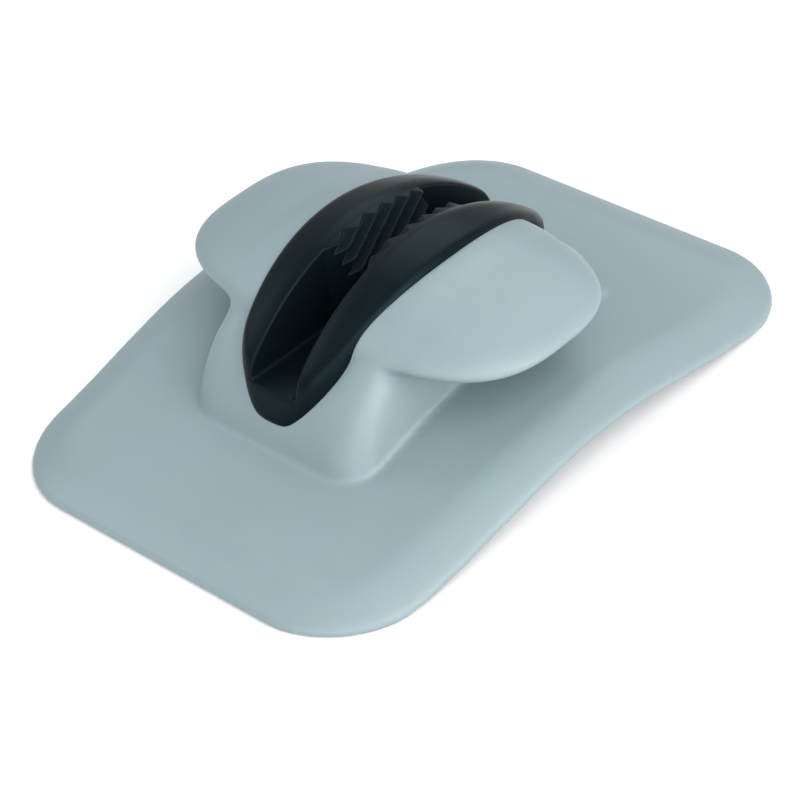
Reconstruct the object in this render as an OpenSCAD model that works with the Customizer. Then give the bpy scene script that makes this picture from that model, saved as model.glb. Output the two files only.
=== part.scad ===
// Rope cleat on a flexible glue-on pad. A toothed jam cleat sits in the top of a soft moulding, and
// two horns reach out from the moulding's neck for belaying the rope's tail.
// +Y runs along the rope groove, +X along the horns, +Z up. The origin is under the middle of the
// pad, on the level of its two flat ends. Millimetres.

/* [Pad] */
// Length of the pad along the rope
pad_len = 165.4; // [140:1:200]
// Width of the pad at its two ends
pad_w = 112; // [100:1:140]
// How far each long edge bows out at the middle
pad_bow = 4.4; // [0:0.2:8]
// Radius of the pad's corners
pad_corner_r = 23.2; // [12:0.5:32]
// Height of the arch under the pad's middle
pad_arch = 10.6; // [4:0.2:16]
// Half length of the arch; the pad is flat beyond it
arch_half = 73.5; // [60:0.5:78]
// Thickness of the pad's rim
rim_t = 2; // [1:0.1:3]
// Thickness of the pad inside its sloping border
pad_t = 6; // [4:0.2:8]
// Width of the sloping border
border_w = 12; // [8:0.5:18]

/* [Neck] */
// Thickness of the neck beyond each nose of the jam cleat
neck_end = 1.25; // [0.8:0.05:4]
// Thickness of the neck beside the jam cleat
neck_side = 6.3; // [5.6:0.1:9]
// Radius of the neck's upright corners
neck_corner_r = 10; // [5:0.5:14]
// Radius of the rolled edge along the neck's arched top
neck_roll_r = 8; // [3:0.5:10]
// How far the jam cleat's crest stands above the neck's arched top
crest_proud = 4.7; // [1.5:0.1:6]

/* [Horns] */
// Length from horn tip to horn tip
horn_span = 103.2; // [90:1:120]
// Width of a horn along the rope
horn_w = 60.2; // [48:1:70]
// Height of a horn above its widest level
horn_rise = 10.3; // [8:0.2:14]
// Depth of a horn below its widest level
horn_drop = 7.5; // [6:0.2:9]
// Height of the horns' widest level
horn_z = 32.4; // [29:0.2:36]

/* [Jam cleat] */
// Width of the jam cleat
cleat_w = 37.4; // [32:0.2:42]
// Radius of the arched crest
crest_r = 56; // [54:0.5:64]
// Height of the top of the crest
crest_z = 45.9; // [43:0.1:50]
// Drop from the crest to the outer edge of each cheek
cheek_fall = 1.7; // [1:0.1:4]
// Radius of the long sides in plan
side_r = 150; // [110:1:220]
// Radius of the two noses in plan
nose_r = 15.6; // [12:0.2:17]
// Setback of each nose's top over its foot
nose_rake = 2.2; // [0.5:0.1:4]
// Gap between the cleat and the walls of its seat
seat_gap = 0.15; // [0.05:0.01:0.4]

/* [Groove and teeth] */
// Width of the groove at its ends
groove_w = 13.4; // [11:0.1:15]
// Thickness of the cleat under the groove
floor_t = 8; // [7:0.1:10]
// Distance between teeth along the rope
tooth_pitch = 6.1; // [4.6:0.1:6.6]
// Depth of the teeth
tooth_depth = 2.4; // [1:0.1:2.6]
// Run of a tooth's steep flank along the rope
tooth_steep = 2.1; // [1.5:0.1:3]
// Run of a tooth along the rope for each millimetre of depth
tooth_lean = 1.5; // [0.8:0.1:2]
// Narrowing of each wall for each millimetre of depth
wall_taper = 0.19; // [0.05:0.01:0.22]
// Place along the rope where the teeth begin
teeth_from = -14.6; // [-18:0.2:-8]
// Run of the slope that leads into the teeth for each millimetre of depth
lead_in = 1.7; // [0.6:0.1:3]
// Place along the rope where the teeth end
teeth_to = 17.4; // [10:0.2:20]
// Place along the rope of one tooth's tip, at the level of the crest
tooth_tip_y = 2.6; // [-3:0.1:5]

/* [Insert frame] */
// Setback of the plate's long edges from the outer faces of the uprights
plate_inset = 0.6; // [0:0.1:1.5]
// Length of the frame's plate along the rope
plate_len = 52; // [44:1:64]
// Thickness of the frame's plate
plate_t = 3.6; // [3:0.1:4.6]
// Space between the plate and the closing patch
plate_gap = 0.2; // [0.1:0.05:1]
// Soft wall between the jam cleat and the uprights
upright_gap = 1.3; // [0.6:0.1:2]
// Thickness of the frame's two uprights
upright_t = 3; // [2:0.1:3.6]
// Width of the horn arms along the rope
arm_w = 16; // [8:0.5:22]
// Thickness of the horn arms
arm_t = 5; // [3:0.1:6]
// Cover between an arm's end and its horn's tip
arm_cover = 8.6; // [6:0.2:14]
// Clearance around the frame in its cavity
cavity_gap = 0.05; // [0.02:0.01:0.2]

/* [Screws and patch] */
// Distance between the two screws
screw_pitch = 32; // [26:1:40]
// Diameter of the screw thread
screw_d = 5; // [4:0.5:6]
// Length of a screw
screw_len = 9; // [7:0.2:9.4]
// Diameter of a screw head
screw_head_d = 9.2; // [8:0.1:11]
// Height of the straight rim of a screw head
head_rim = 0.3; // [0.2:0.05:0.6]
// Clearance around a screw's head and shank in the frame
screw_gap = 0.15; // [0.1:0.05:0.4]
// Width across the flats of the hexagon socket
socket_af = 3; // [2:0.5:4]
// Length of a threaded insert
insert_len = 5.6; // [4:0.1:6.4]
// Wall of a threaded insert
insert_wall = 1; // [0.8:0.1:1.5]
// Diameter of the access holes under the screws
access_d = 11; // [10:0.1:13]
// Thickness of the closing patch
patch_t = 1; // [0.6:0.1:1.1]
// Width of the closing patch
patch_w = 34; // [24:1:44]
// Length of the closing patch
patch_len = 58; // [46:1:72]
// Radius of the patch's corners
patch_corner_r = 9; // [3:0.5:12]

/* [Hidden] */
$fn = 96;
tiny = 0.01;
cut = 1;
arch_axis_z = crest_z - crest_r;
neck_r = crest_r - crest_proud;
half_w = cleat_w / 2;
side_off = side_r - half_w;
nose_tangent_y = sqrt(pow(side_r - nose_r, 2) - pow(side_off, 2));
nose_out = 0.25;
nose_y = nose_tangent_y + nose_out;
nose_turn = atan(nose_tangent_y / side_off);
nose_tip = nose_y + nose_r;
nose_join_y = nose_tangent_y + nose_r * sin(nose_turn);
plate_z = pad_arch + patch_t + plate_gap;
cleat_foot_z = plate_z + plate_t;
groove_floor_z = cleat_foot_z + floor_t;
neck_len = 2 * (nose_tip + neck_end);
neck_w = cleat_w + 2 * neck_side;
upright_x = half_w + upright_gap;
plate_w = 2 * (upright_x + upright_t - plate_inset);
arm_end_x = horn_span / 2 - arm_cover;
thread_clear = 0.05;
head_h = (screw_head_d - screw_d) / 2 + head_rim;
screw_z = plate_z + 0.05;
insert_d = screw_d + 2 * insert_wall;

// Underside of the arched pad and the rows at which the pad is worked out
function under(y) = abs(y) < arch_half ? pad_arch * (1 + cos(180 * y / arch_half)) / 2 : 0;
end_steps = [0, 1.2, 2.8, 4.8, 7.2, 10, 13, 17];
half_len = pad_len / 2;
mid_steps = 30;
mid_half = half_len - 21;
rows = concat([for (e = end_steps) e - half_len],
    [for (i = [0:mid_steps]) mid_half * (2 * i / mid_steps - 1)],
    [for (i = [len(end_steps) - 1:-1:0]) half_len - end_steps[i]]);

// Half width of the pad's outline at a row, and the distance of a point from the outline
function bowed(y) = pad_w / 2 + pad_bow * (1 - pow(y / half_len, 2));
function corner_in(y) = max(0, abs(y) - half_len + pad_corner_r);
function outline_x(y) = bowed(y) - pad_corner_r + sqrt(max(0, pow(pad_corner_r, 2) - pow(corner_in(y), 2)));
function edge_dist(x, y) = let (a = abs(x) - bowed(y) + pad_corner_r, b = abs(y) - half_len + pad_corner_r)
    pad_corner_r - norm([max(a, 0), max(b, 0)]) - min(max(a, b), 0);
function thickness(d) = let (t = min(1, max(0, d) / border_w)) rim_t + (pad_t - rim_t) * sin(90 * t);

// Columns across a row, closer together on the sloping border
side_steps = [0, 1.2, 2.8, 4.8, 7.2, 10, 13, 17];
inner_steps = 6;
function row_xs(y) = let (w = outline_x(y), k = w - 17)
    concat([for (e = side_steps) e - w], [for (i = [1:inner_steps - 1]) k * (2 * i / inner_steps - 1)],
        [for (i = [len(side_steps) - 1:-1:0]) w - side_steps[i]]);

module pad() {
    cols = 2 * len(side_steps) + inner_steps - 1;
    n = len(rows);
    top = [for (y = rows) for (x = row_xs(y)) [x, y, under(y) + thickness(edge_dist(x, y))]];
    low = [for (y = rows) for (s = [-1, 1]) [s * outline_x(y), y, under(y)]];
    base = len(top);
    top_faces = [for (r = [0:n - 2]) for (c = [0:cols - 2]) for (h = [0, 1])
        let (a = r * cols + c, b = a + 1, d = a + cols, e = d + 1) h == 0 ? [a, d, b] : [b, d, e]];
    low_faces = [for (r = [0:n - 2]) let (a = base + 2 * r) [a, a + 1, a + 3, a + 2]];
    left = [for (r = [0:n - 2]) let (a = r * cols, b = base + 2 * r) [a, b, b + 2, a + cols]];
    right = [for (r = [0:n - 2]) let (a = (r + 1) * cols - 1, b = base + 2 * r + 1)
        [a, a + cols, b + 2, b]];
    middle = (cols - 1) / 2;
    front = concat([for (c = [0:cols - 2]) [c, c + 1, base + (c < middle ? 0 : 1)]],
        [[middle, base + 1, base]]);
    last = (n - 1) * cols;
    end = base + 2 * n - 2;
    back = concat([for (c = [0:cols - 2]) [last + c + 1, last + c, end + (c < middle ? 0 : 1)]],
        [[last + middle, end, end + 1]]);
    polyhedron(concat(top, low), concat(top_faces, low_faces, left, right, front, back), 4);
}

// Solid between two heights over the underside, across the whole width
module arched_slab(low, high, wide) {
    floor_line = [for (y = rows) [y, under(y) + low]];
    roof_line = [for (i = [len(rows) - 1:-1:0]) [rows[i], under(rows[i]) + high]];
    translate([wide / 2, 0, 0]) rotate([0, -90, 0])
        linear_extrude(wide) polygon([for (p = concat(floor_line, roof_line)) [p[1], p[0]]]);
}

module rounded_plan(w, l, r) {
    square([w, l - 2 * r], center = true);
    square([w - 2 * r, l], center = true);
    for (x = [-1, 1]) for (y = [-1, 1]) translate([x * (w / 2 - r), y * (l / 2 - r)]) circle(r);
}

// Wheel about the arch's axis, from a profile of radius and place across
module wheel(profile) {
    translate([0, 0, arch_axis_z]) rotate([0, 90, 0]) rotate_extrude($fn = 180) polygon(profile);
}

module neck() {
    w = neck_w / 2;
    roll = [for (a = [0:15:90]) [neck_r - neck_roll_r * (1 - cos(a)), w - neck_roll_r * (1 - sin(a))]];
    intersection() {
        wheel(concat([[0, -w]], [for (i = [len(roll) - 1:-1:0]) [roll[i][0], -roll[i][1]]], roll, [[0, w]]));
        linear_extrude(crest_z) rounded_plan(neck_w, neck_len, neck_corner_r);
        arched_slab(pad_t / 2, crest_z, neck_w + 2 * cut);
    }
}

// Rounded bar of both horns: fuller than an ellipse in plan, nearly elliptical in section
module horns() {
    rings = 9;
    around = 48;
    plan_power = 2.9;
    rise_power = 1.85;
    function corner(t, p) = sign(t) * pow(abs(t), 2 / p);
    function ring(k) = let (c = corner(cos(k), rise_power), s = corner(sin(k), rise_power))
        [for (i = [0:around - 1]) let (a = 360 * i / around)
            [horn_span / 2 * c * corner(cos(a), plan_power), horn_w / 2 * c * corner(sin(a), plan_power),
                horn_z + s * (k > 0 ? horn_rise : horn_drop)]];
    levels = [for (k = [1 - rings:rings - 1]) 90 * k / rings];
    body = [for (k = levels) each ring(k)];
    n = len(levels);
    last = len(body);
    points = concat(body, [[0, 0, horn_z - horn_drop], [0, 0, horn_z + horn_rise]]);
    sides = [for (r = [0:n - 2]) for (i = [0:around - 1]) for (h = [0, 1])
        let (a = r * around + i, b = r * around + (i + 1) % around)
        h == 0 ? [a, a + around, b] : [b, a + around, b + around]];
    lower = [for (i = [0:around - 1]) [last, i, (i + 1) % around]];
    upper = [for (i = [0:around - 1]) let (a = (n - 1) * around)
        [last + 1, a + (i + 1) % around, a + i]];
    polyhedron(points, concat(sides, lower, upper), 4);
}

// Two long arcs and two rounded noses, which cross the arcs at a slight angle
module lens_plan(grow) {
    intersection() {
        translate([-side_off, 0]) circle(side_r + grow, $fn = 360);
        translate([side_off, 0]) circle(side_r + grow, $fn = 360);
        union() {
            square([cleat_w + 4, 2 * nose_join_y], center = true);
            for (s = [-1, 1]) translate([0, s * nose_y]) circle(nose_r + grow);
        }
    }
}

module base_moulding() {
    color("lightsteelblue") difference() {
        union() {
            pad();
            neck();
            horns();
        }
        translate([0, 0, cleat_foot_z]) linear_extrude(crest_z) lens_plan(seat_gap);
        frame_shape(cavity_gap);
        for (s = [-1, 1]) translate([0, s * screw_pitch / 2, -cut]) cylinder(plate_z + cut, d = access_d);
        intersection() {
            translate([0, 0, -cut]) linear_extrude(crest_z)
                rounded_plan(patch_w + 2 * seat_gap, patch_len + 2 * seat_gap, patch_corner_r + seat_gap);
            arched_slab(-cut, patch_t, patch_w + 4);
        }
    }
}

// Cleat without its groove: a conical-cheeked wheel cut to a lens in plan, with raked noses
module cleat_envelope() {
    edge_r = crest_r - cheek_fall;
    round_r = 1.4;
    intersection() {
        wheel([[0, -half_w], [edge_r - round_r, -half_w], [edge_r, round_r - half_w],
            [crest_r, -groove_w / 2], [crest_r, groove_w / 2],
            [edge_r, half_w - round_r], [edge_r - round_r, half_w], [0, half_w]]);
        translate([0, 0, cleat_foot_z]) linear_extrude(crest_z) lens_plan(0);
        translate([cleat_w, 0, 0]) rotate([0, -90, 0]) linear_extrude(2 * cleat_w)
            polygon([[0, -nose_tip], [cleat_foot_z + 1.6, -nose_tip], [groove_floor_z, nose_rake - nose_tip],
                [crest_z + cut, nose_rake - nose_tip], [crest_z + cut, nose_tip - nose_rake],
                [groove_floor_z, nose_tip - nose_rake], [cleat_foot_z + 1.6, nose_tip], [0, nose_tip]]);
    }
}

// One wall's bank of teeth: saw-toothed bars that lean down towards -Y, on a wall that closes downwards
module tooth_bank() {
    lean = atan(tooth_lean);
    deep = crest_z - groove_floor_z;
    before = ceil((tooth_tip_y - teeth_from) / tooth_pitch) + 1;
    after = ceil((teeth_to - tooth_tip_y + deep * tooth_lean) / tooth_pitch) + 1;
    wall_x = groove_w / 2;
    behind = 6;
    saw = [for (i = [-before:after]) let (y = tooth_tip_y + i * tooth_pitch)
        each [[0, (y - tooth_steep) * cos(lean)], [-tooth_depth, y * cos(lean)]]];
    outline = concat([[behind, saw[0][1]]], saw, [[behind, saw[len(saw) - 1][1]]]);
    over = 4;
    intersection() {
        translate([wall_x, 0, crest_z]) rotate([0, atan(wall_taper), 0]) rotate([-lean, 0, 0])
            translate([0, 0, -2 * deep / cos(lean)])
            linear_extrude(2 * (deep + over) / cos(lean) + over) polygon(outline);
        translate([0, 0, groove_floor_z - cut]) linear_extrude(deep + 2 * cut)
            polygon([[half_w, teeth_from], [wall_x, teeth_from], [0.2, teeth_from + lead_in * wall_x],
                [0.2, teeth_to], [half_w, teeth_to]]);
    }
}

module cleat_body() {
    color([0.12, 0.15, 0.17]) difference() {
        cleat_envelope();
        difference() {
            translate([0, 0, groove_floor_z]) linear_extrude(crest_z)
                square([groove_w, 2 * nose_tip + 2 * cut], center = true);
            tooth_bank();
            mirror([1, 0, 0]) tooth_bank();
        }
        for (s = [-1, 1]) translate([0, s * screw_pitch / 2, cleat_foot_z - cut])
            cylinder(insert_len + 0.3 + cut, d = insert_d);
    }
}

// Stiff bridge inside the moulding: a plate under the cleat, an upright at each side, an arm in each horn
module frame_shape(grow) {
    translate([0, 0, plate_z - grow]) linear_extrude(plate_t + grow) 
        rounded_plan(plate_w + 2 * grow, plate_len + 2 * grow, 5);
    for (s = [0, 1]) mirror([s, 0, 0]) {
        translate([upright_x - grow, -arm_w / 2 - grow, plate_z + tiny])
            cube([upright_t + 2 * grow, arm_w + 2 * grow, horn_z + arm_t / 2 - plate_z + grow]);
        translate([upright_x - grow, 0, horn_z - arm_t / 2 - grow]) linear_extrude(arm_t + 2 * grow) {
            translate([0, -arm_w / 2 - grow]) square([arm_end_x - arm_w / 2 - upright_x, arm_w + 2 * grow]);
            translate([arm_end_x - arm_w / 2 - upright_x, 0]) circle(arm_w / 2 + grow);
        }
    }
}

module horn_frame() {
    color("dimgray") difference() {
        frame_shape(0);
        for (s = [-1, 1]) translate([0, s * screw_pitch / 2, plate_z - cut]) {
            cylinder(plate_t + 2 * cut, d = screw_d + 2 * screw_gap);
            cylinder(cut + screw_z - plate_z + head_rim, d = screw_head_d + 2 * screw_gap);
            translate([0, 0, cut + screw_z - plate_z + head_rim]) cylinder(head_h - head_rim,
                d1 = screw_head_d + 2 * screw_gap, d2 = screw_d + 2 * screw_gap);
        }
    }
}

module cleat_screw() {
    socket_deep = head_h - 0.6;
    difference() {
        rotate_extrude() polygon([[0, 0], [screw_head_d / 2, 0],
            [screw_head_d / 2, head_rim], [screw_d / 2, head_h],
            [screw_d / 2, screw_len - 0.6], [screw_d / 2 - 0.6, screw_len], [0, screw_len]]);
        translate([0, 0, -cut]) cylinder(socket_deep + cut, d = socket_af / cos(30), $fn = 6);
    }
}

module cleat_screws() {
    color("silver") for (s = [-1, 1]) translate([0, s * screw_pitch / 2, screw_z]) cleat_screw();
}

module threaded_insert() {
    outer = insert_d / 2;
    waist = outer - 0.4;
    bore = screw_d / 2 + thread_clear;
    rotate_extrude() polygon([[bore, 0], [outer, 0], [outer, insert_len * 0.38], [waist, insert_len * 0.44],
        [waist, insert_len * 0.56], [outer, insert_len * 0.62], [outer, insert_len], [bore, insert_len]]);
}

module threaded_inserts() {
    color("goldenrod") for (s = [-1, 1]) translate([0, s * screw_pitch / 2, cleat_foot_z]) threaded_insert();
}

module closing_patch() {
    color("slategray") intersection() {
        translate([0, 0, -cut]) linear_extrude(crest_z) rounded_plan(patch_w, patch_len, patch_corner_r);
        arched_slab(0, patch_t - 0.05, patch_w + 4);
    }
}

base_moulding();
cleat_body();
horn_frame();
cleat_screws();
threaded_inserts();
closing_patch();
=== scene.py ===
"""Looks for a rope cleat on a flexible glue-on pad.

The soft moulding and the jam cleat follow rules, so each is a field in Geometry Nodes that is below
zero inside the piece, and its zero level becomes the mesh. Sizes are kept in metres, and the fields
work in millimetres.
"""
import math

import bpy
from mathutils import Matrix, Vector


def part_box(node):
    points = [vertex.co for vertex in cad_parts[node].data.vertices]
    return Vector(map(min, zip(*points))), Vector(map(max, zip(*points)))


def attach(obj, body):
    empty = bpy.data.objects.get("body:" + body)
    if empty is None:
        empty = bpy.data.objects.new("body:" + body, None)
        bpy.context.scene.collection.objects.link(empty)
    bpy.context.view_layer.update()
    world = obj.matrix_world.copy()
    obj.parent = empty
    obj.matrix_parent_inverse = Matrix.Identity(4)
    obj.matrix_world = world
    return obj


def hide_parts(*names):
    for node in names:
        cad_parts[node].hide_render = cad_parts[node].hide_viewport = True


bl_info = {
    "name": "Glue-on Rope Cleat",
    "version": (1, 0, 0),
    "blender": (4, 5, 0),
    "location": "3D View > Sidebar > Rope Cleat",
    "description": "Builds a soft pad with two horns, its toothed jam cleat and a plain stage",
    "category": "Add Mesh",
}

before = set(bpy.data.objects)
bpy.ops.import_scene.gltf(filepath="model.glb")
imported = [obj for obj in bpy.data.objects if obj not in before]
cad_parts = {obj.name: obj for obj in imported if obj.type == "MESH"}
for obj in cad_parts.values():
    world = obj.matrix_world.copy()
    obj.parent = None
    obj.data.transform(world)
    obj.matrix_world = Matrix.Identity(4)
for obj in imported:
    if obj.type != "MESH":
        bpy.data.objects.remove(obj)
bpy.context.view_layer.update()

MM = 0.001
BODY = "root"
PAD_BOW_MM = 4.4
CREST_RADIUS_MM = 56.0


def node_box_mm(node):
    """Lowest and highest corners of a node, in millimetres."""
    return [[value / MM for value in corner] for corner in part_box(node)]


PAD_LOW, PAD_HIGH = node_box_mm("base_moulding")
CLEAT_LOW, CLEAT_HIGH = node_box_mm("cleat_body")
PATCH_HIGH = node_box_mm("closing_patch")[1]


# Wiring: sockets that take part in Python expressions


class Wire:
    """An output socket that adds, multiplies and compares as a number does."""

    def __init__(self, board, socket):
        self.board = board
        self.socket = socket

    def __add__(self, other):
        return self.board.math("ADD", self, other)

    def __radd__(self, other):
        return self.board.math("ADD", other, self)

    def __sub__(self, other):
        return self.board.math("SUBTRACT", self, other)

    def __rsub__(self, other):
        return self.board.math("SUBTRACT", other, self)

    def __mul__(self, other):
        return self.board.math("MULTIPLY", self, other)

    def __rmul__(self, other):
        return self.board.math("MULTIPLY", other, self)

    def __truediv__(self, other):
        return self.board.math("DIVIDE", self, other)

    def __rtruediv__(self, other):
        return self.board.math("DIVIDE", other, self)

    def __pow__(self, other):
        return self.board.math("POWER", self, other)

    def __abs__(self):
        return self.board.math("ABSOLUTE", self)

    def __neg__(self):
        return self.board.math("MULTIPLY", self, -1.0)

    def __gt__(self, other):
        return self.board.math("GREATER_THAN", self, other)

    def low(self, other):
        """The smaller of two values."""
        return self.board.math("MINIMUM", self, other)

    def high(self, other):
        """The larger of two values."""
        return self.board.math("MAXIMUM", self, other)

    def blend_low(self, other, reach):
        """The smaller value, with the crease between the two filleted."""
        return self.board.math("SMOOTH_MIN", self, other, reach)

    def blend_high(self, other, reach):
        """The larger value, with the ridge between the two rounded."""
        return self.board.math("SMOOTH_MAX", self, other, reach)

    def clamp(self):
        """The value held between 0 and 1."""
        return self.low(1.0).high(0.0)

    def cos(self):
        return self.board.math("COSINE", self)

    def sin(self):
        return self.board.math("SINE", self)

    def fraction(self):
        return self.board.math("FRACT", self)

    def span(self, other):
        """Length of the vector that has these two sides."""
        return (self * self + other * other) ** 0.5


class Board:
    """One node tree, and the two ways of adding to it."""

    def __init__(self, tree):
        self.tree = tree

    def add(self, kind, settings=None, values=None):
        """Adds a node, sets its own settings, then fills or links its inputs."""
        node = self.tree.nodes.new(kind)
        for name, value in (settings or {}).items():
            setattr(node, name, value)
        for key, value in (values or {}).items():
            if isinstance(value, Wire):
                self.tree.links.new(value.socket, node.inputs[key])
            else:
                node.inputs[key].default_value = value
        return node

    def get(self, kind, settings=None, values=None, output=0):
        """Adds a node and returns one of its outputs as a wire."""
        return Wire(self, self.add(kind, settings, values).outputs[output])

    def math(self, operation, *values):
        return self.get("ShaderNodeMath", {"operation": operation}, dict(enumerate(values)))


# Sizes and colours that a user would change


def length(name, millimetres, description):
    """A size that is given here in millimetres and kept in metres."""
    return bpy.props.FloatProperty(
        name=name, default=millimetres * MM, description=description,
        subtype="DISTANCE", unit="LENGTH", precision=5)


def ratio(name, default, description):
    return bpy.props.FloatProperty(name=name, default=default, description=description)


def share(name, default, description):
    return bpy.props.FloatProperty(
        name=name, default=default, description=description, subtype="FACTOR", min=0.0, max=1.0)


def colour(name, default, description):
    return bpy.props.FloatVectorProperty(
        name=name, default=default, description=description, subtype="COLOR", size=3, min=0.0, max=1.0)


class MouldingSizes(bpy.types.PropertyGroup):
    """Sizes of the soft moulding: pad, neck and horns."""

    half_length: length("Half Length", PAD_HIGH[1], "Half of the pad's length")
    half_width: length("Half Width", PAD_HIGH[0] - PAD_BOW_MM, "Half of the pad's width at its ends")
    bow: length("Bow", PAD_BOW_MM, "How far each long edge bows out at the middle")
    corner: length("Corner", 23.2, "Radius of the pad's corners")
    arch: length("Arch", 10.6, "Height of the arch under the middle")
    arch_half: length("Arch Half", 73.5, "Half length of the arch")
    rim: length("Rim", 2.0, "Thickness of the rim")
    thick: length("Thickness", 6.0, "Thickness inside the sloping border")
    border: length("Border", 12.0, "Width of the sloping border")
    neck_half_length: length("Neck Half Length", 44.9, "Half length of the neck at the horns' level")
    neck_half_width: length("Neck Half Width", 24.7, "Half width of the neck at the horns' level")
    neck_corner: length("Neck Corner", 13.0, "Radius of the neck's corners at the horns' level")
    neck_draft: ratio("Neck Draft", 0.13, "Flare of the neck for each millimetre below the horns")
    corner_draft: ratio("Corner Draft", 0.27, "Sharpening of the corners for each millimetre down")
    neck_radius: length("Neck Radius", 51.5, "Radius of the neck's arched top")
    neck_roll: length("Neck Roll", 9.0, "Softness of the neck's upper edges")
    axis_z: length("Arch Axis", CLEAT_HIGH[2] - CREST_RADIUS_MM, "Height of the arched top's axis")
    horn_reach: length("Horn Reach", 51.6, "Distance from the middle to a horn's tip")
    horn_half_width: length("Horn Half Width", 30.2, "Half width of a horn along the rope")
    horn_rise: length("Horn Rise", 10.3, "Height of a horn above its widest level")
    horn_drop: length("Horn Drop", 8.2, "Depth of a horn below its widest level")
    horn_z: length("Horn Level", 32.4, "Height of the horns' widest level")
    horn_fillet: length("Horn Fillet", 5.0, "Softness of the join between horns and neck")
    foot_fillet: length("Foot Fillet", 1.7, "Softness of the join between neck and pad")
    voxel: length("Grid", 0.8, "Spacing of the field's grid")


class CleatSizes(bpy.types.PropertyGroup):
    """Sizes of the jam cleat, its groove and its teeth."""

    half_width: length("Half Width", CLEAT_HIGH[0], "Half of the cleat's width")
    crest_z: length("Crest Height", CLEAT_HIGH[2], "Height of the crest's top")
    crest_radius: length("Crest Radius", CREST_RADIUS_MM, "Radius of the arched crest")
    fall: length("Cheek Fall", 1.7, "Drop from the crest to a cheek's outer edge")
    side_radius: length("Side Radius", 150.0, "Radius of the long sides in plan")
    nose_radius: length("Nose Radius", 15.6, "Radius of the noses in plan")
    tip: length("Tip", CLEAT_HIGH[1], "Distance from the middle to a nose's tip")
    foot_z: length("Foot Height", CLEAT_LOW[2], "Height of the cleat's foot")
    dip: length("Inner Dip", 0.7, "Drop of a cheek towards the groove")
    rake: ratio("Nose Rake", 0.35, "Setback of a nose for each millimetre of height")
    groove_half: length("Groove Half Width", 6.7, "Half width of the groove")
    flare: length("Flare", 0.7, "Opening of the groove at each nose")
    floor_z: length("Floor Height", 23.4, "Height of the groove's floor")
    pitch: length("Tooth Pitch", 6.1, "Distance between teeth along the rope")
    depth: length("Tooth Depth", 2.4, "Depth of the teeth")
    steep: length("Tooth Flank", 2.1, "Run of a tooth's steep flank")
    lean: ratio("Tooth Lean", 1.5, "Run of a tooth for each millimetre of depth")
    taper: ratio("Wall Taper", 0.19, "Closing of a wall for each millimetre of depth")
    teeth_from: length("Teeth From", -14.6, "Place along the rope where the teeth begin")
    lead_in: ratio("Lead In", 1.7, "Run of the slope into the teeth for each millimetre of depth")
    teeth_to: length("Teeth To", 17.4, "Place along the rope where the teeth end")
    tooth_tip: length("Tooth Tip", 2.6, "Place along the rope of one tooth's tip, at the crest")
    edge: length("Edge", 3.1, "Softness of the outer edges")
    voxel: length("Grid", 0.27, "Spacing of the field's grid")
    thinning: share("Thinning", 0.44, "Share of the faces kept where the surface is smooth")


class Finish(bpy.types.PropertyGroup):
    """Colours and gloss of the pieces."""

    vinyl: colour("Vinyl", (0.215, 0.272, 0.298), "Pale blue-grey of the soft moulding")
    vinyl_shade: colour("Vinyl Shade", (0.190, 0.264, 0.276), "Slightly greener tone of the vinyl")
    nylon: colour("Nylon", (0.0020, 0.0042, 0.0054), "Near black of the jam cleat")
    glass_nylon: colour("Glass Nylon", (0.050, 0.052, 0.055), "Dark grey of the insert frame")
    steel: colour("Steel", (0.62, 0.61, 0.59), "Stainless steel of the screws")
    brass: colour("Brass", (0.72, 0.50, 0.22), "Brass of the threaded inserts")
    fabric: colour("Fabric", (0.14, 0.19, 0.215), "Coated fabric of the closing patch")
    vinyl_rough: share("Vinyl Roughness", 0.46, "Roughness of the vinyl")
    nylon_rough: share("Nylon Roughness", 0.33, "Roughness of the jam cleat")


def is_length(sizes, key):
    return sizes.bl_rna.properties[key].unit == "LENGTH"


def in_mm(sizes, *keys):
    """Stored lengths as the fields use them."""
    return [getattr(sizes, key) / MM for key in keys]


# Fields


def lens_field(x, y, side_radius, nose_radius, half_width, tip):
    """Plan of the jam cleat: two long arcs closed by two rounded noses."""
    side_off = side_radius - half_width
    side = (abs(x) + side_off).span(y) - side_radius
    nose_y = tip - nose_radius
    nose = x.span(abs(y) - nose_y) - nose_radius
    join_y = nose_y * (1.0 + nose_radius / (side_radius - nose_radius))
    return side.high((abs(y) - join_y).low(nose))


def rounded_box_field(x, y, half_x, half_y, corner):
    """Rounded rectangle seen from above, below zero inside."""
    over_x = abs(x) - half_x + corner
    over_y = abs(y) - half_y + corner
    return over_x.high(0.0).span(over_y.high(0.0)) + over_x.high(over_y).low(0.0) - corner


def underside(y, size):
    """Height of the pad's arched underside."""
    turn = abs(y).low(size["Arch Half"]) * (math.pi / size["Arch Half"])
    return size["Arch"] * 0.5 * (turn.cos() + 1.0)


def pad_field(x, y, z, size):
    """Thin pad with a sloping border, bent over the arch, with a shallow seat for the patch."""
    seat_gap, seat_corner, seat_depth, seat_step = 0.2, 9.0, 0.45, 0.8
    top_edge_round, rim_round = 0.9, 1.8
    along = y / size["Half Length"]
    half_x = size["Half Width"] + size["Bow"] * (1.0 - along * along)
    outside = rounded_box_field(x, y, half_x, size["Half Length"], size["Corner"])
    slope = (-outside / size["Border"]).clamp()
    thick = size["Rim"] + (size["Thickness"] - size["Rim"]) * (slope * (math.pi / 2)).sin()
    patch = rounded_box_field(x, y, PATCH_HIGH[0] + seat_gap, PATCH_HIGH[1] + seat_gap, seat_corner)
    seat = seat_depth * (0.5 - patch / seat_step).clamp()
    level = z - underside(y, size)
    shell = (level - thick).blend_high(seat - level, top_edge_round)
    return shell.blend_high(outside, rim_round)


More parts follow.
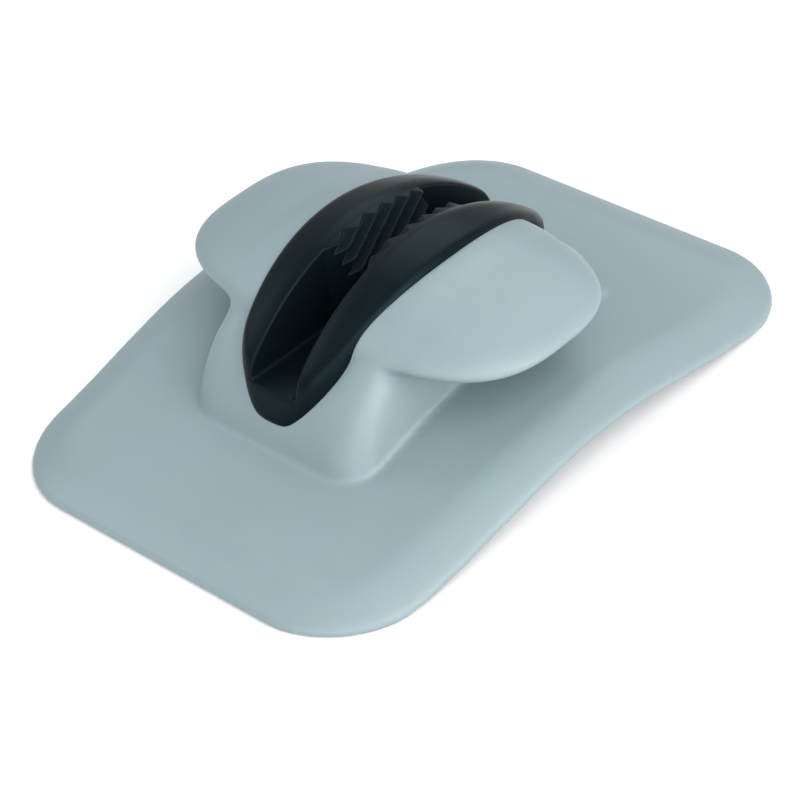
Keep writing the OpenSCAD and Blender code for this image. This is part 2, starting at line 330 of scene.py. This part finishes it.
def neck_field(x, y, z, size):
    """Block under the jam cleat, with an arched top, rolled upper edges and walls that flare down."""
    foot_rise = 2.5
    top = y.span(z - size["Arch Axis"]) - size["Neck Radius"]
    below = (size["Horn Level"] - z).high(0.0)
    corner = size["Neck Corner"] - size["Corner Draft"] * below
    plan = rounded_box_field(x, y, size["Neck Half Width"], size["Neck Half Length"], corner)
    plan = plan - size["Neck Draft"] * below
    low = underside(y, size) + foot_rise - z
    return top.blend_high(plan, size["Neck Roll"]).high(low)


def horn_field(x, y, z, size):
    """Both horns as one rounded bar: full in plan, nearly elliptical in section.

    The sum of powers is divided by its own slope, so that the field runs in millimetres near the
    surface. Small floors keep the powers and the division finite in the middle.
    """
    plan_power, rise_power = 2.9, 1.85
    plan_floor, whole_floor, slope_floor = 1e-4, 1e-3, 0.01
    reach = size["Horn Reach"]
    wide = size["Horn Half Width"]
    high = z - size["Horn Level"]
    tall = size["Horn Drop"] + (size["Horn Rise"] - size["Horn Drop"]) * (high > 0.0)
    part_x = abs(x) / reach
    part_y = abs(y) / wide
    part_z = abs(high) / tall
    plan = (part_x ** plan_power + part_y ** plan_power).high(plan_floor) ** (1 / plan_power)
    whole = (plan ** rise_power + part_z ** rise_power).high(whole_floor) ** (1 / rise_power)
    slope_x = part_x ** (plan_power - 1) / reach
    slope_y = part_y ** (plan_power - 1) / wide
    slope_plan = plan ** (rise_power - plan_power) * slope_x.span(slope_y)
    slope_z = part_z ** (rise_power - 1) / tall
    steepness = whole ** (1 - rise_power) * slope_plan.span(slope_z)
    return (whole - 1.0) / steepness.high(slope_floor)


def moulding_field(x, y, z, size):
    """Pad, neck and horns melted together, with a seat that the jam cleat presses into all round."""
    press = 1.6
    body = neck_field(x, y, z, size).blend_low(horn_field(x, y, z, size), size["Horn Fillet"])
    body = body.blend_low(pad_field(x, y, z, size), size["Foot Fillet"])
    jaw = bpy.context.scene.rope_cleat_jaw
    plan = lens_field(x, y, *in_mm(jaw, "side_radius", "nose_radius", "half_width", "tip"))
    foot_z, = in_mm(jaw, "foot_z")
    seat = (plan + press).high(foot_z + press - z)
    return body.high(-seat)


def tooth_wave(phase, flank):
    """Saw-tooth from 0 to 1 and back: a long back, then a flank that takes the stated share."""
    part = phase.fraction()
    back = 1.0 - part / (1.0 - flank)
    rise = (part - (1.0 - flank)) / flank
    return back.high(rise)


def groove_field(x, y, z, size):
    """Groove between the cheeks: open at both ends, toothed and closing downwards in its middle."""
    far_slope, least_half, mouth, mouth_sag = 5.0, 0.3, 9.0, 0.5
    wall_slope, floor_round = 0.8, 1.6
    deep = size["Crest Height"] - z
    root = size["Groove Half Width"]
    pitch = size["Tooth Pitch"]
    phase = (y + size["Tooth Lean"] * deep - size["Tooth Tip"]) / pitch
    wave = tooth_wave(phase, size["Tooth Flank"] / pitch)
    toothed = root - size["Wall Taper"] * deep - size["Tooth Depth"] * wave
    near = root - (y - size["Teeth From"]).high(0.0) / size["Lead In"]
    far = root - (size["Teeth To"] - y).high(0.0) * far_slope
    half = toothed.high(near).high(far).low(root).high(least_half)
    end = ((abs(y) - size["Tip"] + mouth) / mouth).clamp()
    flared = half + size["Flare"] * end * end
    wall = (abs(x) - flared) * wall_slope
    return wall.blend_high(size["Floor Height"] - z - mouth_sag * end, floor_round)


def cleat_field(x, y, z, size):
    """Arched jam cleat: sloping cheeks, lens-shaped plan, raked noses and a groove along the top."""
    dip_width, dip_power, fall_power = 4.0, 2.0, 1.4
    upright_foot, nose_round, foot_round, lip_round = 1.6, 2.4, 1.0, 0.7
    radius = y.span(z - (size["Crest Height"] - size["Crest Radius"]))
    root = size["Groove Half Width"]
    half = size["Half Width"]
    out = (abs(x) - root).high(0.0) / (half - root)
    near_groove = ((root + dip_width - abs(x)) / dip_width).clamp()
    dome = size["Cheek Fall"] * out ** fall_power + size["Inner Dip"] * near_groove ** dip_power
    cheek = radius - size["Crest Radius"] + dome
    plan = lens_field(x, y, size["Side Radius"], size["Nose Radius"], half, size["Tip"])
    set_back = size["Nose Rake"] * (z - size["Foot Height"] - upright_foot).high(0.0)
    nose = abs(y) - size["Tip"] + set_back
    sides = cheek.blend_high(plan, size["Edge"]).blend_high(nose, nose_round)
    outer = sides.blend_high(size["Foot Height"] - z, foot_round)
    return outer.blend_high(-groove_field(x, y, z, size), lip_round)


# From a field to a mesh


def size_inputs(tree, board, sizes):
    """Adds one named input for each size, and returns the sizes as wires in millimetres."""
    keys = list(sizes.__annotations__)
    for key in keys:
        name = sizes.bl_rna.properties[key].name
        socket = tree.interface.new_socket(name, in_out="INPUT", socket_type="NodeSocketFloat")
        if is_length(sizes, key):
            socket.subtype = "DISTANCE"
        socket.default_value = getattr(sizes, key)
    given = board.add("NodeGroupInput")
    wires = {}
    for key in keys:
        name = sizes.bl_rna.properties[key].name
        wire = Wire(board, given.outputs[name])
        wires[name] = wire * (1 / MM) if is_length(sizes, key) else wire
    return wires


def field_tree(title, sizes, field, low, high, voxel):
    """Geometry Nodes tree that meshes a field's zero level inside a box, and its material input."""
    tree = bpy.data.node_groups.new(title, "GeometryNodeTree")
    tree.interface.new_socket("Geometry", in_out="OUTPUT", socket_type="NodeSocketGeometry")
    material_id = tree.interface.new_socket(
        "Material", in_out="INPUT", socket_type="NodeSocketMaterial").identifier
    board = Board(tree)
    size = size_inputs(tree, board, sizes)
    material = board.get("NodeGroupInput", output="Material")
    place = board.get("GeometryNodeInputPosition")
    place_mm = board.get("ShaderNodeVectorMath", {"operation": "SCALE"}, {0: place, "Scale": 1 / MM})
    axes = board.add("ShaderNodeSeparateXYZ", values={0: place_mm})
    x, y, z = (Wire(board, axes.outputs[name]) for name in "XYZ")
    far_outside_mm = -10.0
    density = -field(x, y, z, size)
    counts = [math.ceil((h - l) / voxel) + 1 for l, h in zip(low, high)]
    volume = board.get("GeometryNodeVolumeCube", values={
        "Density": density, "Background": far_outside_mm,
        "Min": [value * MM for value in low], "Max": [value * MM for value in high],
        "Resolution X": counts[0], "Resolution Y": counts[1], "Resolution Z": counts[2]})
    mesh = board.get("GeometryNodeVolumeToMesh", {"resolution_mode": "GRID"}, {
        "Volume": volume, "Threshold": 0.0, "Adaptivity": 0.0})
    real = board.get("GeometryNodeRealizeInstances", values={"Geometry": mesh})
    finished = board.get("GeometryNodeSetMaterial", values={"Geometry": real, "Material": material})
    board.add("NodeGroupOutput", values={0: finished})
    return tree, material_id


def grown_mesh(name, tree, material_id, material, kept=1.0):
    """Runs a tree on an empty object, and returns a new object with the plain mesh."""
    seed = bpy.data.objects.new(name + "_seed", bpy.data.meshes.new(name + "_seed"))
    bpy.context.collection.objects.link(seed)
    modifier = seed.modifiers.new("Field", "NODES")
    modifier.node_group = tree
    modifier[material_id] = material
    if kept < 1.0:
        thin = seed.modifiers.new("Thin", "DECIMATE")
        thin.ratio = kept
    evaluated = seed.evaluated_get(bpy.context.evaluated_depsgraph_get())
    mesh = bpy.data.meshes.new_from_object(evaluated)
    bpy.data.objects.remove(seed)
    if not mesh.polygons:
        raise RuntimeError(name + " came out empty")
    mesh.name = name
    mesh.shade_smooth()
    piece = bpy.data.objects.new(name, mesh)
    bpy.context.collection.objects.link(piece)
    return piece


def box_around(low, high, voxel):
    """A piece's box with room for three cells of the grid on every side."""
    margin = 3 * voxel
    return [value - margin for value in low], [value + margin for value in high]


# Materials


def new_material(name):
    material = bpy.data.materials.new(name)
    material.use_nodes = True
    material.node_tree.nodes.clear()
    return material, Board(material.node_tree)


def finish_material(board, surface):
    board.add("ShaderNodeOutputMaterial", values={"Surface": surface})


def object_place(board):
    return board.get("ShaderNodeTexCoord", output="Object")


def noise(board, place, scale, detail, rough=0.5):
    """Noise from 0 to 1; scale is in repeats to the metre."""
    return board.get("ShaderNodeTexNoise", values={
        "Vector": place, "Scale": scale, "Detail": detail, "Roughness": rough})


def mixed_colour(board, factor, first, second):
    """Colour between two; the Mix node's colour sockets share their names, so they go by number."""
    return board.get("ShaderNodeMix", {"data_type": "RGBA"}, {0: factor, 6: first, 7: second}, output=2)


def bump(board, height, distance):
    """Normal for a height from about 0 to 1; distance is in metres."""
    return board.get("ShaderNodeBump", values={"Strength": 1.0, "Distance": distance, "Height": height})


def opaque(rgb, gain=1.0):
    """A colour with full alpha, made lighter or darker by the gain."""
    return (rgb[0] * gain, rgb[1] * gain, rgb[2] * gain, 1.0)


def vinyl_material(finish):
    """Soft satin vinyl: slow drifts of tone, a fine pebble grain and slightly uneven gloss."""
    material, board = new_material("soft_vinyl")
    place = object_place(board)
    drift = noise(board, place, scale=28.0, detail=3.0)
    mottle = noise(board, place, scale=160.0, detail=2.0)
    grain = noise(board, place, scale=2600.0, detail=2.0, rough=0.6)
    tone = ((drift - 0.5) * 1.6 + (mottle - 0.5) * 0.5 + 0.5).clamp()
    shade = mixed_colour(board, tone, opaque(finish.vinyl), opaque(finish.vinyl_shade))
    rough = finish.vinyl_rough + (mottle - 0.5) * 0.06 + (grain - 0.5) * 0.05
    height = grain + (mottle - 0.5) * 3.0
    surface = board.get("ShaderNodeBsdfPrincipled", values={
        "Base Color": shade, "Roughness": rough, "IOR": 1.48,
        "Normal": bump(board, height, 0.00003)})
    finish_material(board, surface)
    return material


def nylon_material(finish):
    """Black moulded nylon: faint flow streaks along the rope and a fine spark-eroded grain."""
    material, board = new_material("black_nylon")
    place = object_place(board)
    streaks = board.get("ShaderNodeMapping", values={"Vector": place, "Scale": (260.0, 22.0, 90.0)})
    flow = noise(board, streaks, scale=1.0, detail=3.0)
    grain = noise(board, place, scale=3800.0, detail=2.0, rough=0.6)
    shade = mixed_colour(board, flow, opaque(finish.nylon), opaque(finish.nylon, 1.7))
    rough = finish.nylon_rough + (flow - 0.5) * 0.10 + (grain - 0.5) * 0.06
    surface = board.get("ShaderNodeBsdfPrincipled", values={
        "Base Color": shade, "Roughness": rough, "IOR": 1.53, "Specular IOR Level": 0.10,
        "Specular Tint": (0.50, 0.86, 1.0, 1.0), "Normal": bump(board, grain, 0.00002)})
    finish_material(board, surface)
    return material


def glass_nylon_material(finish):
    """Glass-filled nylon: dark grey with short pale fibres that show faintly at the surface."""
    material, board = new_material("glass_filled_nylon")
    place = object_place(board)
    laid = board.get("ShaderNodeMapping", values={"Vector": place, "Scale": (900.0, 5200.0, 5200.0)})
    fibres = (noise(board, laid, scale=1.0, detail=2.0) - 0.58).clamp() * 5.0
    cloud = noise(board, place, scale=90.0, detail=3.0)
    dark = opaque(finish.glass_nylon)
    shade = mixed_colour(board, (fibres * 0.35 + cloud * 0.25).clamp(), dark, (0.16, 0.16, 0.16, 1.0))
    rough = 0.52 + (cloud - 0.5) * 0.14
    surface = board.get("ShaderNodeBsdfPrincipled", values={
        "Base Color": shade, "Roughness": rough, "Normal": bump(board, fibres + cloud, 0.00003)})
    finish_material(board, surface)
    return material


def steel_material(finish):
    """Turned stainless steel: fine rings about each screw's axis and a few dull patches."""
    material, board = new_material("stainless_steel")
    place = object_place(board)
    rings = board.get("ShaderNodeMapping", values={"Vector": place, "Scale": (300.0, 300.0, 9000.0)})
    turned = noise(board, rings, scale=1.0, detail=2.0)
    dull = noise(board, place, scale=420.0, detail=3.0)
    shade = mixed_colour(board, dull, opaque(finish.steel), (0.48, 0.48, 0.47, 1.0))
    rough = 0.24 + turned * 0.12 + (dull - 0.5) * 0.10
    surface = board.get("ShaderNodeBsdfPrincipled", values={
        "Base Color": shade, "Metallic": 1.0, "Roughness": rough,
        "Normal": bump(board, turned, 0.00001)})
    finish_material(board, surface)
    return material


def brass_material(finish):
    """Machined brass: warm, with a little tarnish in broad blotches."""
    material, board = new_material("machined_brass")
    place = object_place(board)
    tarnish = noise(board, place, scale=350.0, detail=3.0)
    grain = noise(board, place, scale=4200.0, detail=2.0)
    shade = mixed_colour(board, tarnish, opaque(finish.brass), (0.42, 0.27, 0.11, 1.0))
    rough = 0.30 + tarnish * 0.18
    surface = board.get("ShaderNodeBsdfPrincipled", values={
        "Base Color": shade, "Metallic": 1.0, "Roughness": rough,
        "Normal": bump(board, grain, 0.00001)})
    finish_material(board, surface)
    return material


def fabric_material(finish):
    """Coated fabric: the plain weave shows through the coating as a fine grid of humps."""
    material, board = new_material("coated_fabric")
    axes = board.add("ShaderNodeSeparateXYZ", values={0: object_place(board)})
    across, along = Wire(board, axes.outputs["X"]), Wire(board, axes.outputs["Y"])
    threads_per_metre = 1250.0
    turn = math.pi * threads_per_metre
    weave = (across * turn).sin() * (along * turn).sin()
    crossing = weave > 0.0
    over = abs((across * turn).sin()) * crossing + abs((along * turn).sin()) * (1.0 - crossing)
    cloud = noise(board, object_place(board), scale=60.0, detail=3.0)
    tone = (over * 0.35 + cloud * 0.5).clamp()
    shade = mixed_colour(board, tone, opaque(finish.fabric, 0.8), opaque(finish.fabric))
    rough = 0.62 - over * 0.12 + (cloud - 0.5) * 0.1
    surface = board.get("ShaderNodeBsdfPrincipled", values={
        "Base Color": shade, "Roughness": rough, "Normal": bump(board, over, 0.00008)})
    finish_material(board, surface)
    return material


def dress(node, material):
    """Gives a CAD node's object its finished material."""
    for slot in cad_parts[node].material_slots:
        slot.material = material


# Operators


class ROPECLEAT_OT_moulding(bpy.types.Operator):
    """Make the soft moulding: pad, neck and two horns in one skin"""

    bl_idname = "ropecleat.moulding"
    bl_label = "Soft Moulding"

    def execute(self, context):
        sizes = context.scene.rope_cleat_moulding
        voxel, = in_mm(sizes, "voxel")
        low, high = box_around(PAD_LOW, PAD_HIGH, voxel)
        tree, material_id = field_tree("Soft Moulding", sizes, moulding_field, low, high, voxel)
        material = vinyl_material(context.scene.rope_cleat_finish)
        piece = grown_mesh("soft_moulding", tree, material_id, material)
        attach(piece, BODY)
        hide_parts("base_moulding")
        return {"FINISHED"}


class ROPECLEAT_OT_jam_cleat(bpy.types.Operator):
    """Make the black jam cleat with its groove and slanted teeth"""

    bl_idname = "ropecleat.jam_cleat"
    bl_label = "Jam Cleat"

    def execute(self, context):
        sizes = context.scene.rope_cleat_jaw
        voxel, = in_mm(sizes, "voxel")
        low, high = box_around(CLEAT_LOW, CLEAT_HIGH, voxel)
        tree, material_id = field_tree("Jam Cleat", sizes, cleat_field, low, high, voxel)
        material = nylon_material(context.scene.rope_cleat_finish)
        piece = grown_mesh("jam_cleat", tree, material_id, material, sizes.thinning)
        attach(piece, BODY)
        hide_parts("cleat_body")
        return {"FINISHED"}


class ROPECLEAT_OT_inner_parts(bpy.types.Operator):
    """Finish the insert frame, screws, threaded inserts and closing patch"""

    bl_idname = "ropecleat.inner_parts"
    bl_label = "Inner Parts"

    def execute(self, context):
        finish = context.scene.rope_cleat_finish
        dress("horn_frame", glass_nylon_material(finish))
        dress("cleat_screws", steel_material(finish))
        dress("threaded_inserts", brass_material(finish))
        dress("closing_patch", fabric_material(finish))
        return {"FINISHED"}


class ROPECLEAT_OT_stage(bpy.types.Operator):
    """Set the pale floor, the soft studio lights and the camera"""

    bl_idname = "ropecleat.stage"
    bl_label = "Stage"

    def execute(self, context):
        add_floor()
        add_world()
        add_lights()
        add_camera()
        return {"FINISHED"}


# Stage


def direction(azimuth, elevation):
    """Unit vector towards a place round the object: azimuth 0 is in front, at -Y, and 90 is at +X."""
    a, e = math.radians(azimuth), math.radians(elevation)
    return Vector((math.sin(a) * math.cos(e), -math.cos(a) * math.cos(e), math.sin(e)))


def add_floor():
    half = 3.0
    mesh = bpy.data.meshes.new("floor")
    corners = [(-half, -half, 0.0), (half, -half, 0.0), (half, half, 0.0), (-half, half, 0.0)]
    mesh.from_pydata(corners, [], [(0, 1, 2, 3)])
    floor = bpy.data.objects.new("floor", mesh)
    bpy.context.collection.objects.link(floor)
    material, board = new_material("floor")
    pale = (0.9, 0.9, 0.9, 1.0)
    surface = board.get("ShaderNodeBsdfPrincipled", values={"Base Color": pale, "Roughness": 0.9})
    finish_material(board, surface)
    mesh.materials.append(material)


def add_world():
    world = bpy.data.worlds.new("studio")
    world.use_nodes = True
    world.node_tree.nodes.clear()
    board = Board(world.node_tree)
    glow = board.get("ShaderNodeBackground", values={"Color": (0.95, 0.98, 1.0, 1.0), "Strength": 0.6})
    board.add("ShaderNodeOutputWorld", values={"Surface": glow})
    bpy.context.scene.world = world
    bpy.context.scene.view_settings.view_transform = "Standard"


def add_softbox(name, azimuth, elevation, distance, size, watts, tint):
    """A square area light that faces the object."""
    light = bpy.data.lights.new(name, "AREA")
    light.shape = "SQUARE"
    light.size = size
    light.energy = watts
    light.color = tint
    lamp = bpy.data.objects.new(name, light)
    towards = direction(azimuth, elevation)
    lamp.location = towards * distance
    lamp.rotation_euler = towards.to_track_quat("Z", "Y").to_euler()
    bpy.context.collection.objects.link(lamp)


def add_lights():
    add_softbox("softbox_key", 82.0, 44.0, 0.9, 0.8, 6.9, (1.0, 0.972, 0.962))
    add_softbox("softbox_front", 28.0, 22.0, 0.9, 0.7, 3.4, (1.0, 0.985, 0.98))
    add_softbox("softbox_right", 96.0, 13.0, 0.9, 0.45, 3.6, (1.0, 0.96, 0.95))
    add_softbox("softbox_back", 210.0, 50.0, 0.9, 0.6, 2.2, (0.90, 0.97, 1.0))
    add_softbox("softbox_left", 300.0, 38.0, 1.0, 0.6, 1.6, (0.86, 0.94, 1.0))


def add_camera():
    """Long lens, looking down from the front right, rolled a little."""
    aim = Vector((0.0, -0.00355, -0.00413))
    distance, roll = 0.68459, math.radians(-7.7225)
    towards = direction(47.118, 37.386)
    camera = bpy.data.cameras.new("camera")
    camera.sensor_width = 36.0
    camera.lens = 129.676
    camera.clip_end = 20.0
    eye = bpy.data.objects.new("camera", camera)
    place = Matrix.Translation(aim + towards * distance)
    facing = towards.to_track_quat("Z", "Y").to_matrix().to_4x4()
    eye.matrix_world = place @ facing @ Matrix.Rotation(roll, 4, "Z")
    bpy.context.collection.objects.link(eye)
    bpy.context.scene.camera = eye


class ROPECLEAT_PT_panel(bpy.types.Panel):
    """Lists the pieces of the rope cleat and their sizes"""

    bl_idname = "ROPECLEAT_PT_panel"
    bl_label = "Rope Cleat"
    bl_space_type = "VIEW_3D"
    bl_region_type = "UI"
    bl_category = "Rope Cleat"

    def draw(self, context):
        for operator in OPERATORS:
            self.layout.operator(operator.bl_idname)
        for name, group in GROUPS.items():
            box = self.layout.box()
            for key in group.__annotations__:
                box.prop(getattr(context.scene, name), key)


OPERATORS = (
    ROPECLEAT_OT_moulding, ROPECLEAT_OT_jam_cleat, ROPECLEAT_OT_inner_parts, ROPECLEAT_OT_stage)
GROUPS = {
    "rope_cleat_moulding": MouldingSizes, "rope_cleat_jaw": CleatSizes, "rope_cleat_finish": Finish}


def register():
    for group in GROUPS.values():
        bpy.utils.register_class(group)
    for name, group in GROUPS.items():
        setattr(bpy.types.Scene, name, bpy.props.PointerProperty(type=group))
    for operator in OPERATORS:
        bpy.utils.register_class(operator)
    bpy.utils.register_class(ROPECLEAT_PT_panel)


def unregister():
    bpy.utils.unregister_class(ROPECLEAT_PT_panel)
    for operator in reversed(OPERATORS):
        bpy.utils.unregister_class(operator)
    for name in GROUPS:
        delattr(bpy.types.Scene, name)
    for group in GROUPS.values():
        bpy.utils.unregister_class(group)


def main():
    register()
    for operator in OPERATORS:
        group, name = operator.bl_idname.split(".")
        getattr(getattr(bpy.ops, group), name)()


if __name__ == "__main__":
    main()
